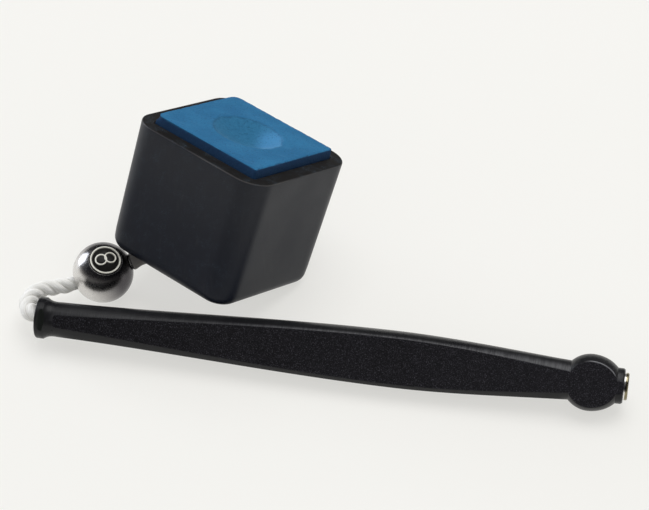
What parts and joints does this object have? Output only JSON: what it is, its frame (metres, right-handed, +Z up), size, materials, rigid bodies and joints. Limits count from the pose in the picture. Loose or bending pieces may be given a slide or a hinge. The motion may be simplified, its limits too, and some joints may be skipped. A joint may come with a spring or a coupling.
{
  "type": "billiard cue chalk holder",
  "caption": "Pocket holder for billiard cue chalk: a slim handle with flats and a magnet end, joined by a short cord with a bead to a rubber cup that grips a chalk cube.",
  "frame": {"origin": "on the table, under the middle of the box round the handle, bead, cup and chalk", "axes": "+X along the handle from its cord end to its magnet end, +Z up from the table"},
  "size_m": [0.1045, 0.0469, 0.0324],
  "materials": {
    "handle": "satin",
    "magnet": "satin",
    "ferrule": "satin",
    "cord": "matte",
    "bead": "polished",
    "cup": "satin",
    "chalk": "matte",
    "label": "matte"
  },
  "bodies": {
    "handle": {"handle": "handle", "magnet": "magnet", "cord_ferrule": "ferrule"},
    "tether": {"cord": "cord", "cup_knot": "cord"},
    "bead": {"bead": "bead"},
    "cup": {"cup": "cup"},
    "chalk": {"chalk": "chalk", "chalk_label": "label"}
  },
  "joints": [
    {"name": "cord_flex", "type": "hinge", "parent": "handle", "child": "tether", "pos_m": [-0.055, -0.0163, 0.0044], "axis": [0, 0, 1], "range_deg": [-1.5, 150], "deforming": ["cord"]},
    {"name": "bead_spin", "type": "hinge", "parent": "tether", "child": "bead", "pos_m": [-0.03329, -0.00363, 0.00787], "axis": [0.8849, 0.3727, 0.2793], "continuous": true},
    {"name": "cup_swivel", "type": "hinge", "parent": "tether", "child": "cup", "pos_m": [-0.03329, -0.00363, 0.00787], "axis": [0.8849, 0.3727, 0.2793], "range_deg": [-100, 1.5]},
    {"name": "chalk_slide", "type": "slide", "parent": "cup", "child": "chalk", "axis": [0.2126, 0.3653, 0.9063], "range_m": [0, 0.021]}
  ]
}
